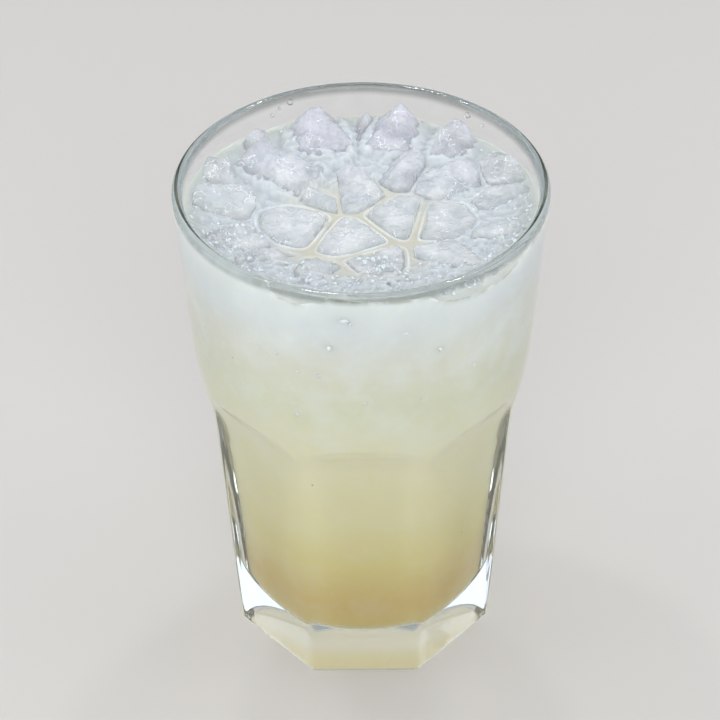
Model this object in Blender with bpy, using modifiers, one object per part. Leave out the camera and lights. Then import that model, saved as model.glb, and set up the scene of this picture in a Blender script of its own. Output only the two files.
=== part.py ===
"""A tall pressed glass of cloudy lemonade, packed with crushed ice to just under the rim.

The glass is a round tumbler whose lower half is cut to eight flat faces. Each face
runs out upwards in a hollow curve, which meets the round body in an arch. The drink
is a solid up to its level, with a pocket for each lump of ice that stands in it.

Metres, +Z up. The glass stands on the XY plane, centred on the Z axis, and one of
its eight faces looks along -Y.
"""

import math
import random

import bmesh
import bpy
import numpy as np

MM = 0.001

# Glass
HEIGHT = 136.0
MOUTH_RADIUS = 44.0
LIP_WALL = 2.5
FLOOR_THICKNESS = 11.0
FLOOR_FILLET = 5.0
GLASS_STEPS = 64

# Eight flat faces: their distance from the axis at the foot, how much that grows with
# each millimetre of height, where the hollow run-out starts and its radius
FACE_COUNT = 8
FACE_FOOT = 33.8
FACE_SLOPE = 0.039
RUN_OUT_START = 76.0
RUN_OUT_RADIUS = 18.7
RUN_OUT_END = 120.0
FOOT_ROUNDING = 1.6
CUTTER_HALF_LENGTH = 22.0

# Outer radius of the round body at these heights, from the lip down. Low down it shows
# only at the eight corners, which it takes off by a quarter of a millimetre.
OUTSIDE = (
    (134.75, 44.0),
    (125.0, 43.6),
    (115.0, 43.05),
    (104.0, 42.55),
    (96.0, 42.15),
    (90.0, 41.75),
    (85.0, 41.2),
    (80.0, 40.35),
    (72.0, 39.4),
)
CORNER_TAKEN_OFF = 0.25

# Inner radius at these heights, from the mouth down to the floor's fillet. The wall is
# thin at the mouth and some nine millimetres thick behind the flat faces.
INSIDE = (
    (134.75, 41.5),
    (125.0, 41.15),
    (115.0, 40.6),
    (104.0, 39.9),
    (96.0, 39.1),
    (90.0, 38.0),
    (85.0, 36.6),
    (80.0, 35.0),
    (74.0, 33.2),
    (66.0, 31.2),
    (58.0, 29.7),
    (50.0, 28.5),
    (40.0, 27.3),
    (30.0, 26.3),
    (17.0, 25.3),
)

# Drink and ice. The drink is level in the middle and at the back. Crushed ice too fine to
# show as lumps is banked up in it all round the front, in a dish about this centre.
LEVEL = 126.5
DISH_CENTRE_Y = 12.0
DISH_FLOOR_RADIUS = 20.0
DISH_RADIUS = 53.0
BANK_HEIGHT = 7.0
DISH_STEPS = 8
DRINK_STEPS = 48
CLEARANCE = 0.3

# A lump reaches at most this far from the axis. Its facets are spread over a sphere from
# this height of their normals down, and lie at this share of its ellipsoid's reach.
LUMP_GAP = 0.5
CHANNEL_GAP = 2.2
LUMP_REACH = 40.2
LUMP_FACETS = 11
LUMP_SEGMENTS = 14
LUMP_RINGS = 9
EDGE_SHARPNESS = 32.0
HEAPED_DROP = 0.8
AFLOAT_DROP = 0.45
AFLOAT_LEAN = 2
HEAPED_FACETS_FROM = 0.75
AFLOAT_FACETS_FROM = 0.25
FACETS_DOWN_TO = -0.95
FACET_TURN = 2.4
FACET_DEPTH = (0.85, 1.0)
PEAK_OUT = 0.6
PEAK_SHIFT = 0.4
SHOULDER_FALL = (22.0, 46.0)
NEIGHBOUR_RANGE = 1.6
SIZE_SHARE = 0.75

# How much larger than its lump a pocket is, and how much more where only a sliver of
# drink would be left between the pocket and the wall
POCKET_GROWTH = 0.65
POCKET_ABOVE = 3.0
SLIVER = 0.3
SLIVER_TAKEN = 1.6

# Each lump: x, y and height of its top, then half its width, depth and height in mm, how
# many degrees its top leans in from the glass, and the seed that its facets are drawn from
LUMPS = (
    (-12.5, 31.5, 133.4, 15.0, 14.0, 10.0, 18, 416),
    (1.5, 35.0, 129.4, 8.0, 8.5, 7.5, 12, 40),
    (10.0, 31.5, 133.4, 14.0, 13.0, 10.0, 18, 590),
    (26.0, 26.5, 133.6, 12.5, 12.5, 10.0, 18, 287),
    (35.0, 15.5, 133.2, 9.0, 11.5, 9.0, 15, 822),
    (34.0, 1.0, 131.2, 12.0, 12.0, 9.5, 12, 832),
    (-20.5, 15.0, 133.2, 16.5, 16.0, 11.0, 15, 169),
    (-28.5, 26.5, 132.2, 11.0, 11.0, 8.5, 15, 652),
    (-35.5, 11.5, 133.2, 9.0, 11.0, 8.5, 15, 501),
    (-33.5, 0.0, 133.1, 11.5, 11.0, 9.0, 9, 735),
    (-30.5, -13.0, 132.2, 12.5, 12.0, 9.5, 10, 50),
    (-16.5, -4.5, 127.8, 14.0, 13.0, 8.0, 0, 51),
    (-10.0, 8.5, 129.6, 9.5, 13.5, 8.5, 5, 52),
    (-1.5, 9.0, 130.0, 8.5, 14.0, 8.5, 7, 53),
    (7.5, 18.5, 130.8, 11.5, 14.0, 9.0, 9, 54),
    (22.0, 12.5, 130.4, 13.0, 12.5, 8.5, 9, 55),
    (20.5, -4.0, 128.0, 14.5, 12.0, 8.0, 2, 56),
    (-2.5, -10.5, 127.8, 11.0, 11.5, 7.5, 0, 57),
    (9.0, -1.5, 128.1, 10.5, 12.0, 8.0, 2, 58),
    (4.0, -22.5, 129.0, 12.5, 11.0, 8.0, 2, 59),
    (20.5, -23.0, 131.6, 16.5, 13.0, 9.0, 9, 60),
    (33.0, -12.5, 132.0, 12.0, 12.5, 9.0, 9, 61),
    (-10.0, -30.0, 132.0, 14.0, 14.0, 9.0, 10, 62),
    (-23.5, -24.5, 132.2, 12.5, 12.0, 9.0, 10, 63),
    (5.5, -36.0, 132.4, 14.0, 10.5, 9.0, 10, 64),
)


def clear_scene():
    for obj in list(bpy.data.objects):
        bpy.data.objects.remove(obj, do_unlink=True)


def make_collection(name):
    collection = bpy.data.collections.new(name)
    bpy.context.scene.collection.children.link(collection)
    return collection


def make_material(name, colour, roughness):
    material = bpy.data.materials.new(name)
    material.use_nodes = True
    shader = material.node_tree.nodes["Principled BSDF"]
    shader.inputs["Base Color"].default_value = (*colour, 1.0)
    shader.inputs["Roughness"].default_value = roughness
    shader.inputs["Metallic"].default_value = 0.0
    return material


def arc(centre_r, centre_z, radius, start, end, steps):
    """Points (radius from the axis, height) along an arc, with its angles in degrees."""
    angles = np.radians(np.linspace(start, end, steps + 1))
    return [(centre_r + radius * math.cos(a), centre_z + radius * math.sin(a)) for a in angles]


def face_distance(height):
    """How far each flat face lies from the axis at this height."""
    return FACE_FOOT + FACE_SLOPE * height


def inner_radius(height):
    heights = [z for z, _ in reversed(INSIDE)]
    radii = [r for _, r in reversed(INSIDE)]
    return float(np.interp(height, heights, radii))


def dish_height(radius):
    """Height of the drink's surface at this distance from the dish's centre: level, and
    then a parabola that rises by the bank's height at the foremost wall."""
    share = max(0.0, radius - DISH_FLOOR_RADIUS) / (DISH_RADIUS - DISH_FLOOR_RADIUS)
    return LEVEL + BANK_HEIGHT * share**2


def cavity_profile(clearance, top):
    """The cavity's section from the middle of its floor out and up to the height top.

    With a clearance it is the section of what fills the cavity.
    """
    wall = [(r - clearance, z) for z, r in reversed(INSIDE) if z < top]
    floor = FLOOR_THICKNESS + clearance
    fillet_r = wall[0][0] - FLOOR_FILLET
    fillet = arc(fillet_r, floor + FLOOR_FILLET, FLOOR_FILLET, -90, -4, 6)
    return [(0.0, floor)] + fillet + wall


def turned(name, profile, steps, collection):
    """A body turned round Z from a section in mm, given as points (radius, height)."""
    mesh = bpy.data.meshes.new(name)
    points = [(r * MM, 0.0, z * MM) for r, z in profile]
    edges = [(i, i + 1) for i in range(len(points) - 1)]
    mesh.from_pydata(points, edges, [])
    obj = bpy.data.objects.new(name, mesh)
    collection.objects.link(obj)
    screw = obj.modifiers.new("Turn", "SCREW")
    screw.axis = "Z"
    screw.angle = math.tau
    screw.steps = steps
    screw.render_steps = steps
    screw.use_merge_vertices = True
    screw.merge_threshold = 0.00001
    screw.use_smooth_shade = True
    return obj


def outline_cutter(name, outline, half_length, collection):
    """A flat outline in mm, given as points (x, y), extruded to both sides of its plane."""
    curve = bpy.data.curves.new(name, "CURVE")
    curve.dimensions = "2D"
    curve.fill_mode = "BOTH"
    curve.extrude = half_length * MM
    spline = curve.splines.new("POLY")
    spline.points.add(len(outline) - 1)
    for point, (x, y) in zip(spline.points, outline):
        point.co = (x * MM, y * MM, 0.0, 1.0)
    spline.use_cyclic_u = True
    drawn = bpy.data.objects.new(name + "_outline", curve)
    collection.objects.link(drawn)
    graph = bpy.context.evaluated_depsgraph_get()
    mesh = bpy.data.meshes.new_from_object(drawn.evaluated_get(graph))
    bpy.data.objects.remove(drawn, do_unlink=True)
    shape = bmesh.new()
    shape.from_mesh(mesh)
    bmesh.ops.remove_doubles(shape, verts=shape.verts, dist=0.00001)
    bmesh.ops.recalc_face_normals(shape, faces=shape.faces)
    shape.to_mesh(mesh)
    shape.free()
    mesh.name = name
    return mesh


def face_section():
    """The section that one face's cutter takes away, as points (radius, height).

    From under the foot it follows the rounded bottom edge, the sloping face and the
    hollow run-out, and closes well outside the glass.
    """
    rounding = arc(FACE_FOOT - FOOT_ROUNDING, FOOT_ROUNDING, FOOT_ROUNDING, -90, 0, 5)
    under = (rounding[0][0] - 0.6, -0.1)
    lean = math.degrees(math.atan(FACE_SLOPE))
    start_r = face_distance(RUN_OUT_START)
    centre_r = start_r + RUN_OUT_RADIUS * math.cos(math.radians(lean))
    centre_z = RUN_OUT_START - RUN_OUT_RADIUS * math.sin(math.radians(lean))
    run_out = arc(centre_r, centre_z, RUN_OUT_RADIUS, 180 - lean, RUN_OUT_END, 9)
    far = MOUTH_RADIUS + 14.0
    return [under] + rounding[1:] + run_out + [(far, run_out[-1][1]), (far, -0.1)]


def make_glass(parts, cutters):
    lip = LIP_WALL / 2
    over_lip = arc(MOUTH_RADIUS - lip, HEIGHT - lip, lip, 180, 0, 8)
    outer = [(r, z) for z, r in OUTSIDE[1:]]
    corner = 1 / math.cos(math.pi / FACE_COUNT)
    foot = (FACE_FOOT * corner - CORNER_TAKEN_OFF, 0.0)
    profile = cavity_profile(0.0, HEIGHT - 2 * lip) + over_lip + outer + [foot, (0.0, 0.0)]
    glass = turned("glass", profile, GLASS_STEPS, parts)
    mesh = outline_cutter("face", face_section(), CUTTER_HALF_LENGTH, cutters)
    for index in range(FACE_COUNT):
        cutter = bpy.data.objects.new(f"face_cutter_{index + 1}", mesh)
        cutters.objects.link(cutter)
        turn = math.tau * index / FACE_COUNT - math.pi / 2
        cutter.rotation_euler = (math.pi / 2, 0.0, turn)
        cutter.hide_render = True
        cutter.display_type = "WIRE"
        cut = glass.modifiers.new(f"Face {index + 1}", "BOOLEAN")
        cut.operation = "DIFFERENCE"
        cut.object = cutter
    glass.data.materials.append(make_material("clear pressed glass", (0.86, 0.91, 0.92), 0.03))
    return glass


def is_afloat(index):
    """Whether the lump lies flat in the drink, with its top just out of it."""
    return LUMPS[index][6] <= AFLOAT_LEAN


def lump_drop(index):
    """How far the lump's centre is below its top: less for a flat-topped one afloat."""
    return (AFLOAT_DROP if is_afloat(index) else HEAPED_DROP) * LUMPS[index][5]


def lump_centre(index):
    x, y, top = LUMPS[index][:3]
    return np.array([x, y, top - lump_drop(index)])


def lump_planes(index):
    """The flat facets of one lump, as unit normals and distances from its centre.

    The first is its top, which leans in towards the axis and passes through the lump's
    peak near its outer edge. The next are spread evenly over the sphere and then tilted
    at random, each at 85 to 100 per cent of the reach of the lump's ellipsoid. The last
    two are the shoulders of a heaped lump, which fall away from its peak to both sides.
    """
    x, y, _, wide, deep, tall, lean, seed = LUMPS[index]
    draw = random.Random(seed)
    spin = draw.uniform(0.0, math.tau)
    tilt = math.radians(lean)
    highest = AFLOAT_FACETS_FROM if is_afloat(index) else HEAPED_FACETS_FROM
    spread = highest - FACETS_DOWN_TO
    out = np.array([x, y]) / math.hypot(x, y)
    normals = [(*(-out * math.sin(tilt)), math.cos(tilt))]
    for k in range(LUMP_FACETS):
        height = highest - spread * (k + 0.5) / LUMP_FACETS + draw.uniform(-0.1, 0.1)
        turn = spin + FACET_TURN * k + draw.uniform(-0.35, 0.35)
        flat = math.sqrt(1 - height * height)
        normals.append((flat * math.cos(turn), flat * math.sin(turn), height))
    normals = np.array(normals)
    reach = np.linalg.norm(normals * (wide, deep, tall), axis=1)
    distances = reach * [draw.uniform(*FACET_DEPTH) for _ in normals]
    distances[0] = normals[0] @ (*(out * PEAK_OUT * deep), lump_drop(index))
    if is_afloat(index):
        return normals, distances
    side = np.array([out[1], -out[0]])
    shift = draw.uniform(-PEAK_SHIFT, PEAK_SHIFT)
    peak = np.array([*(out * PEAK_OUT * deep + side * shift * wide), lump_drop(index)])
    falls = [math.radians(draw.uniform(*SHOULDER_FALL)) for _ in range(2)]
    shoulders = [(*(way * side * math.sin(f)), math.cos(f)) for way, f in zip((-1, 1), falls)]
    normals = np.concatenate([normals, shoulders])
    return normals, np.concatenate([distances, shoulders @ peak])


def neighbour_planes(index):
    """Planes halfway to the lumps around this one, moved towards the smaller lump."""
    here = lump_centre(index)
    size = np.mean(LUMPS[index][3:6])
    gap = CHANNEL_GAP if is_afloat(index) else LUMP_GAP
    normals, distances = [], []
    for other in range(len(LUMPS)):
        step = lump_centre(other) - here
        apart = np.linalg.norm(step)
        other_size = np.mean(LUMPS[other][3:6])
        if other == index or apart > NEIGHBOUR_RANGE * (size + other_size):
            continue
        middle = (apart + SIZE_SHARE * (size**2 - other_size**2) / apart) / 2
        normals.append(step / apart)
        distances.append(middle - gap / 2)
    return np.array(normals), np.array(distances)


def lump_reach(index, directions):
    """How far the lump reaches from its centre in each direction.

    The shortest of the ways to its ellipsoid, its facets, its neighbours and the glass
    is taken, and a power mean of the inverse ways rounds the edges between them.
    """
    wide, deep, tall = LUMPS[index][3:6]
    inverse = [np.linalg.norm(directions / (wide, deep, tall), axis=1)]
    for normals, distances in (lump_planes(index), neighbour_planes(index)):
        towards = np.clip(directions @ normals.T, 0.0, None)
        inverse.extend((towards / distances).T)
    centre = lump_centre(index)
    flat = directions[:, :2]
    along = flat @ centre[:2]
    across = (flat**2).sum(axis=1)
    room = LUMP_REACH**2 - centre[:2] @ centre[:2]
    to_glass = room / (along + np.sqrt(along**2 + across * room) + 1e-9)
    inverse.append(1 / to_glass)
    powers = np.array(inverse) ** EDGE_SHARPNESS
    return powers.sum(axis=0) ** (-1 / EDGE_SHARPNESS)


def sphere_shape():
    """A unit UV sphere and its vertex directions, shared by the lumps and pockets."""
    shape = bmesh.new()
    bmesh.ops.create_uvsphere(
        shape, u_segments=LUMP_SEGMENTS, v_segments=LUMP_RINGS, radius=1.0
    )
    shape.verts.ensure_lookup_table()
    directions = np.array([vert.co[:] for vert in shape.verts])
    return shape, directions / np.linalg.norm(directions, axis=1)[:, None]


def placed_sphere(name, offsets, index, collection):
    """The sphere with its vertices moved to these offsets, in mm from the lump's centre."""
    shape, _ = sphere_shape()
    for vert, offset in zip(shape.verts, offsets):
        vert.co = offset * MM
    bmesh.ops.recalc_face_normals(shape, faces=shape.faces)
    mesh = bpy.data.meshes.new(name)
    shape.to_mesh(mesh)
    shape.free()
    obj = bpy.data.objects.new(name, mesh)
    obj.location = lump_centre(index) * MM
    collection.objects.link(obj)
    return obj


def lump_offsets(index):
    shape, directions = sphere_shape()
    shape.free()
    return directions * lump_reach(index, directions)[:, None]


def pocket_offsets(index):
    """The room that a lump takes in the drink: the lump itself, grown all round.

    Above its widest ring it keeps that width, so the pocket is open at the top and no
    drink is left over the lump's shoulders.
    """
    offsets = lump_offsets(index)
    x, y, _ = lump_centre(index)
    flat = np.linalg.norm(offsets[:, :2], axis=1)
    turns = np.round(np.degrees(np.arctan2(offsets[:, 1], offsets[:, 0]))) % 360
    top = LEVEL + BANK_HEIGHT + POCKET_ABOVE - lump_centre(index)[2]
    pocket = offsets.copy()
    for turn in np.unique(turns[flat > 0.01]):
        column = np.flatnonzero((turns == turn) & (flat > 0.01))
        column = column[np.argsort(offsets[column, 2])]
        wide = np.maximum.accumulate(flat[column]) + POCKET_GROWTH
        way = offsets[column, :2] / flat[column, None]
        ends = way * wide[:, None]
        by_wall = np.hypot(x + ends[:, 0], y + ends[:, 1]) > LUMP_REACH - SLIVER
        wide = np.where(by_wall, wide + SLIVER_TAKEN, wide)
        pocket[column, :2] = way * wide[:, None]
        widest = int(np.argmax(flat[column]))
        rise = np.linspace(0.0, 1.0, len(column) - widest)
        low = offsets[column, 2] - POCKET_GROWTH
        low[widest:] = low[widest] + (top - low[widest]) * rise
        pocket[column, 2] = low
    pole = flat <= 0.01
    pocket[pole & (offsets[:, 2] > 0), 2] = top
    pocket[pole & (offsets[:, 2] < 0), 2] -= POCKET_GROWTH
    return pocket


def make_ice(parts):
    material = make_material("frosty ice", (0.80, 0.86, 0.90), 0.15)
    for index in range(len(LUMPS)):
        lump = placed_sphere(f"ice_{index + 1:02d}", lump_offsets(index), index, parts)
        lump.data.shade_smooth()
        lump.data.set_sharp_from_angle(angle=math.radians(35))
        lump.data.materials.append(material)


def connected_bodies(shape):
    """The mesh's separate bodies, each as a set of its vertices."""
    waiting = set(shape.verts)
    bodies = []
    while waiting:
        body = set()
        front = [waiting.pop()]
        while front:
            vert = front.pop()
            body.add(vert)
            near = {edge.other_vert(vert) for edge in vert.link_edges} & waiting
            waiting -= near
            front.extend(near)
        bodies.append(body)
    return bodies


def keep_largest_body(obj):
    """Applies the object's modifiers and drops the loose scraps that the cuts left."""
    graph = bpy.context.evaluated_depsgraph_get()
    mesh = bpy.data.meshes.new_from_object(obj.evaluated_get(graph))
    obj.modifiers.clear()
    shape = bmesh.new()
    shape.from_mesh(mesh)
    scraps = sorted(connected_bodies(shape), key=len)[:-1]
    for scrap in scraps:
        bmesh.ops.delete(shape, geom=list(scrap), context="VERTS")
    shape.to_mesh(mesh)
    shape.free()
    obj.data = mesh


def make_lemonade(parts):
    top = LEVEL + BANK_HEIGHT
    surface = inner_radius(top) - CLEARANCE
    section = cavity_profile(CLEARANCE, top) + [(surface, top), (0.0, top)]
    drink = turned("lemonade", section[::-1], DRINK_STEPS, parts)
    pockets = make_collection("pockets")
    radii = np.linspace(DISH_FLOOR_RADIUS, DISH_RADIUS + 4.0, DISH_STEPS)
    dish = [(r, dish_height(r)) for r in radii]
    above = dish[-1][1] + 2.0
    dish = [(0.0, above), (dish[-1][0], above)] + dish[::-1] + [(0.0, LEVEL)]
    turned("dish", dish, DRINK_STEPS, pockets).location.y = DISH_CENTRE_Y * MM
    for index in range(len(LUMPS)):
        placed_sphere(f"pocket_{index + 1:02d}", pocket_offsets(index), index, pockets)
    cut = drink.modifiers.new("Pockets for the ice", "BOOLEAN")
    cut.operation = "DIFFERENCE"
    cut.operand_type = "COLLECTION"
    cut.collection = pockets
    cut.solver = "MANIFOLD"
    keep_largest_body(drink)
    for pocket in list(pockets.objects):
        bpy.data.objects.remove(pocket, do_unlink=True)
    bpy.data.collections.remove(pockets)
    drink.data.materials.append(make_material("cloudy lemonade", (0.78, 0.72, 0.45), 0.1))


def main():
    clear_scene()
    parts = make_collection("glass of lemonade")
    cutters = make_collection("cutters")
    make_glass(parts, cutters)
    make_lemonade(parts)
    make_ice(parts)


main()
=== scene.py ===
# %% [markdown]
# # A tall glass of cloudy lemonade over crushed ice
#
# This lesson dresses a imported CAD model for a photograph-like render. The model has
# a pressed tumbler, the drink as one solid, and 25 lumps of ice. The scene puts a
# smoother surface over each of them, and adds what is too small for CAD: ice
# crumbs, flecks, bubbles and droplets. Shapes are worked out in millimetres.

import math
import random

import bpy
import numpy as np
from mathutils import Matrix, Vector


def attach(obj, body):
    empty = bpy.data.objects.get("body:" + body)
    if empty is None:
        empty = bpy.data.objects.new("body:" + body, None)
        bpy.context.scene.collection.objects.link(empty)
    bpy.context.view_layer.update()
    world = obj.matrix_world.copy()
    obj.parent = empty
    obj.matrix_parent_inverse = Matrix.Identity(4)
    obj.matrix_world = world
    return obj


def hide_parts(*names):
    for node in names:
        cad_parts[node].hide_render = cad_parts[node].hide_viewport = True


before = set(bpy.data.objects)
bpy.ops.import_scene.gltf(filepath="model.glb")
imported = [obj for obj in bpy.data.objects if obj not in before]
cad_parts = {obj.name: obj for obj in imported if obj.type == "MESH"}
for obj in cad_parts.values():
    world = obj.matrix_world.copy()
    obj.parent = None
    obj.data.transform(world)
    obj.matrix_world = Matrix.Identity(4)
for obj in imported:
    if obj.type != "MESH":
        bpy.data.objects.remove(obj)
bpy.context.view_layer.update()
MM = 0.001

# %% [markdown]
# ## The camera
#
# The photograph looks down on the glass at about 40 degrees from less than half a
# metre away. The camera's place, tilt and focal length come from the oval of the rim
# and the corners of the foot, by fitting a pinhole camera to them. Guessing a lens
# and sliding the camera by eye would also work, but the oval's tilt and the taper of
# the sides pull in different directions, and a fit settles both at once.

# %% Camera
CAMERA_PLACE = (-0.63, -335.53, 366.58)
CAMERA_DOWN = 40.39
CAMERA_ROLL = 0.564
CAMERA_LENS = 87.2

camera_data = bpy.data.cameras.new("camera")
camera_data.lens = CAMERA_LENS
camera_data.sensor_width = 36.0
camera_data.clip_start = 0.01
camera = bpy.data.objects.new("camera", camera_data)
bpy.context.collection.objects.link(camera)
camera.matrix_world = (
    Matrix.Translation(Vector(CAMERA_PLACE) * MM)
    @ Matrix.Rotation(math.radians(90.0 - CAMERA_DOWN), 4, "X")
    @ Matrix.Rotation(math.radians(-CAMERA_ROLL), 4, "Z")
)
bpy.context.scene.camera = camera
print("camera:", CAMERA_LENS, "mm lens, looking", CAMERA_DOWN, "degrees down")

# %% [markdown]
# ## Helpers for shapes
#
# A turned or closed body is a grid of points: rows run along its section and columns
# run round it. The first and last rows shrink to a point, so the body is closed. The
# grid could come from a Screw modifier, but then a shape that changes on the way
# round, such as faces on a glass, would need cutting. Worked out as an array, each
# point can have any height and radius.


# %% Shape helpers
def add_object(name, data):
    """A new object with this mesh or lamp as its data, put in the scene."""
    obj = bpy.data.objects.new(name, data)
    bpy.context.collection.objects.link(obj)
    return obj


def add_mesh(name, points, faces):
    """A new mesh object with flat faces. The points are in metres."""
    mesh = bpy.data.meshes.new(name)
    mesh.from_pydata(points, [], faces)
    mesh.update()
    return add_object(name, mesh)


def closed_surface(name, rows):
    """A smooth closed mesh from rows of points in mm, shaped (rows, columns, 3).

    Each row is a ring. The first and last rows must each lie at one point. Columns run
    anticlockwise seen from above while rows go up the outside, so faces point outwards.
    """
    count, columns = rows.shape[0] - 2, rows.shape[1]
    points = np.concatenate([rows[:1, 0], rows[1:-1].reshape(-1, 3), rows[-1:, 0]]) * MM
    ring = np.arange(columns)
    after = (ring + 1) % columns
    lower = 1 + np.arange(count - 1)[:, None] * columns
    quads = np.stack([lower + ring, lower + after, lower + columns + after, lower + columns + ring], -1)
    last = 1 + (count - 1) * columns
    first_fan = np.stack([np.zeros_like(ring), 1 + after, 1 + ring], -1)
    last_fan = np.stack([np.full_like(ring, len(points) - 1), last + ring, last + after], -1)
    faces = quads.reshape(-1, 4).tolist() + first_fan.tolist() + last_fan.tolist()
    obj = add_mesh(name, points, faces)
    obj.data.shade_smooth()
    return obj


def lattice_noise(points, grain, seed):
    """Smooth random values from -1 to 1 at points in mm.

    Each corner of a cubic lattice with this grain in mm gets a random value, and a
    point takes a smooth mix of its cell's eight corners.
    """
    table = np.random.default_rng(seed).uniform(-1.0, 1.0, (32, 32, 32))
    place = np.asarray(points) / grain + 1000.37
    cell = np.floor(place).astype(int)
    share = place - cell
    share = share * share * (3.0 - 2.0 * share)
    total = np.zeros(place.shape[:-1])
    for corner in np.ndindex(2, 2, 2):
        weight = np.where(corner, share, 1.0 - share).prod(axis=-1)
        i, j, k = np.moveaxis((cell + corner) % 32, -1, 0)
        total += weight * table[i, j, k]
    return total


def add_attribute(obj, name, values):
    """Store one number per point on the mesh, for a material to read."""
    obj.data.attributes.new(name, "FLOAT", "POINT").data.foreach_set("value", values.astype(np.float32))


# %% [markdown]
# ## Helpers for materials
#
# Colours are written as the hex values one would pick from a photograph, and turned
# to the linear values that the renderer adds up. One helper adds a node, sets its
# options and fills its inputs, so that a material reads as a list of steps.


# %% Material helpers
def linear(code):
    """The linear colour, with alpha, of an sRGB hex code."""
    parts = [int(code[i : i + 2], 16) / 255.0 for i in (1, 3, 5)]
    return [p / 12.92 if p <= 0.04045 else ((p + 0.055) / 1.055) ** 2.4 for p in parts] + [1.0]


def add_node(material, kind, inputs=None, **options):
    """Add a node of a kind, with options as its properties, and return it.

    inputs maps a socket's name or number to a value or to another node's output.
    """
    node = material.node_tree.nodes.new(kind)
    for name, value in options.items():
        setattr(node, name, value)
    for name, value in (inputs or {}).items():
        if isinstance(value, bpy.types.NodeSocket):
            material.node_tree.links.new(value, node.inputs[name])
        else:
            node.inputs[name].default_value = value
    return node


def new_material(name):
    material = bpy.data.materials.new(name)
    material.use_nodes = True
    material.node_tree.nodes.clear()
    return material


def ramp(material, factor, stops):
    """A colour ramp over a factor, from (position, hex colour) stops in rising order."""
    node = add_node(material, "ShaderNodeValToRGB", {"Fac": factor})
    while len(node.color_ramp.elements) < len(stops):
        node.color_ramp.elements.new(0.5)
    for element, (position, code) in zip(node.color_ramp.elements, stops):
        element.position = position
        element.color = linear(code)
    return node.outputs["Color"]


def blend(material, factor, first, second):
    """A mix of two colours, from first at factor 0 to second at factor 1."""
    inputs = {0: factor, 6: first, 7: second}
    return add_node(material, "ShaderNodeMix", inputs, data_type="RGBA").outputs[2]


def rescaled(material, value, low, high, to_low=0.0, to_high=1.0):
    """A value mapped from one range to another, and kept within it."""
    inputs = {0: value, 1: low, 2: high, 3: to_low, 4: to_high}
    return add_node(material, "ShaderNodeMapRange", inputs).outputs[0]


def combined(material, operation, first, second=0.0):
    """The result of a sum or other operation on two values."""
    inputs = {0: first, 1: second}
    return add_node(material, "ShaderNodeMath", inputs, operation=operation).outputs[0]


def noise(material, place, scale, detail=2.0):
    inputs = {"Vector": place, "Scale": scale, "Detail": detail}
    return add_node(material, "ShaderNodeTexNoise", inputs).outputs["Fac"]


def object_place(material):
    """The place in the object in metres, as a vector and as its x, y and z."""
    place = add_node(material, "ShaderNodeTexCoord").outputs["Object"]
    return place, *add_node(material, "ShaderNodeSeparateXYZ", {0: place}).outputs


def stored(material, name):
    """The number that the mesh stores for each point under this name."""
    return add_node(material, "ShaderNodeAttribute", attribute_name=name).outputs["Fac"]


def mixed(material, share, first, second):
    """A mix of two shader nodes, from first at share 0 to second at share 1."""
    inputs = {0: share, 1: first.outputs[0], 2: second.outputs[0]}
    return add_node(material, "ShaderNodeMixShader", inputs)


def bumped(material, height, strength, distance_mm):
    inputs = {"Height": height, "Strength": strength, "Distance": distance_mm * MM}
    return add_node(material, "ShaderNodeBump", inputs).outputs["Normal"]


# %% [markdown]
# ## The section of the glass
#
# The tumbler is pressed glass: round at the mouth, with eight flat faces below that
# run out upwards in a hollow curve. Its wall is thin at the rim and thick where the
# faces are, over a heavy clear base. These sizes repeat the CAD model's. The round
# body and the faces could be cut with Booleans, as in CAD. Here each point takes the
# nearest of the body's radius and the way to the faces, in a soft minimum: that
# gives the fire-polished, slightly rounded edges that pressed glass has.

# %% Sizes of the glass
HEIGHT = 136.0
MOUTH_RADIUS = 44.0
LIP_WALL = 2.5
FLOOR_THICKNESS = 11.0
FLOOR_FILLET = 5.0
FACE_FOOT = 33.8
FACE_SLOPE = 0.039
RUN_OUT_START = 76.0
RUN_OUT_RADIUS = 18.7
FOOT_ROUNDING = 1.6
OUTSIDE_HEIGHTS = (0.0, 72.0, 80.0, 85.0, 90.0, 96.0, 104.0, 115.0, 125.0, 134.75)
OUTSIDE_RADII = (36.34, 39.4, 40.35, 41.2, 41.75, 42.15, 42.55, 43.05, 43.6, 44.0)
INSIDE_HEIGHTS = (
    *(16.0, 17.0, 30.0, 40.0, 50.0, 58.0, 66.0, 74.0),
    *(80.0, 85.0, 90.0, 96.0, 104.0, 115.0, 125.0, 134.75),
)
INSIDE_RADII = (
    *(25.2, 25.3, 26.3, 27.3, 28.5, 29.7, 31.2, 33.2),
    *(35.0, 36.6, 38.0, 39.1, 39.9, 40.6, 41.15, 41.5),
)
SECTION_STEP = 0.25
FACES = 8
# The higher this power, the sharper the edges between the faces
GLASS_EDGE = 260.0


def softened(heights, radii, window=3.0):
    """A finely sampled section whose corners are averaged over a window in mm."""
    fine = np.arange(heights[0], heights[-1], SECTION_STEP)
    steps = int(window / SECTION_STEP) | 1
    padded = np.pad(np.interp(fine, heights, radii), steps // 2, "reflect", reflect_type="odd")
    return fine, np.convolve(padded, np.ones(steps) / steps, "valid")


outside = softened(OUTSIDE_HEIGHTS, OUTSIDE_RADII)
inside = softened(INSIDE_HEIGHTS, INSIDE_RADII)


def inner_radius(height):
    return np.interp(height, *inside)


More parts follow.
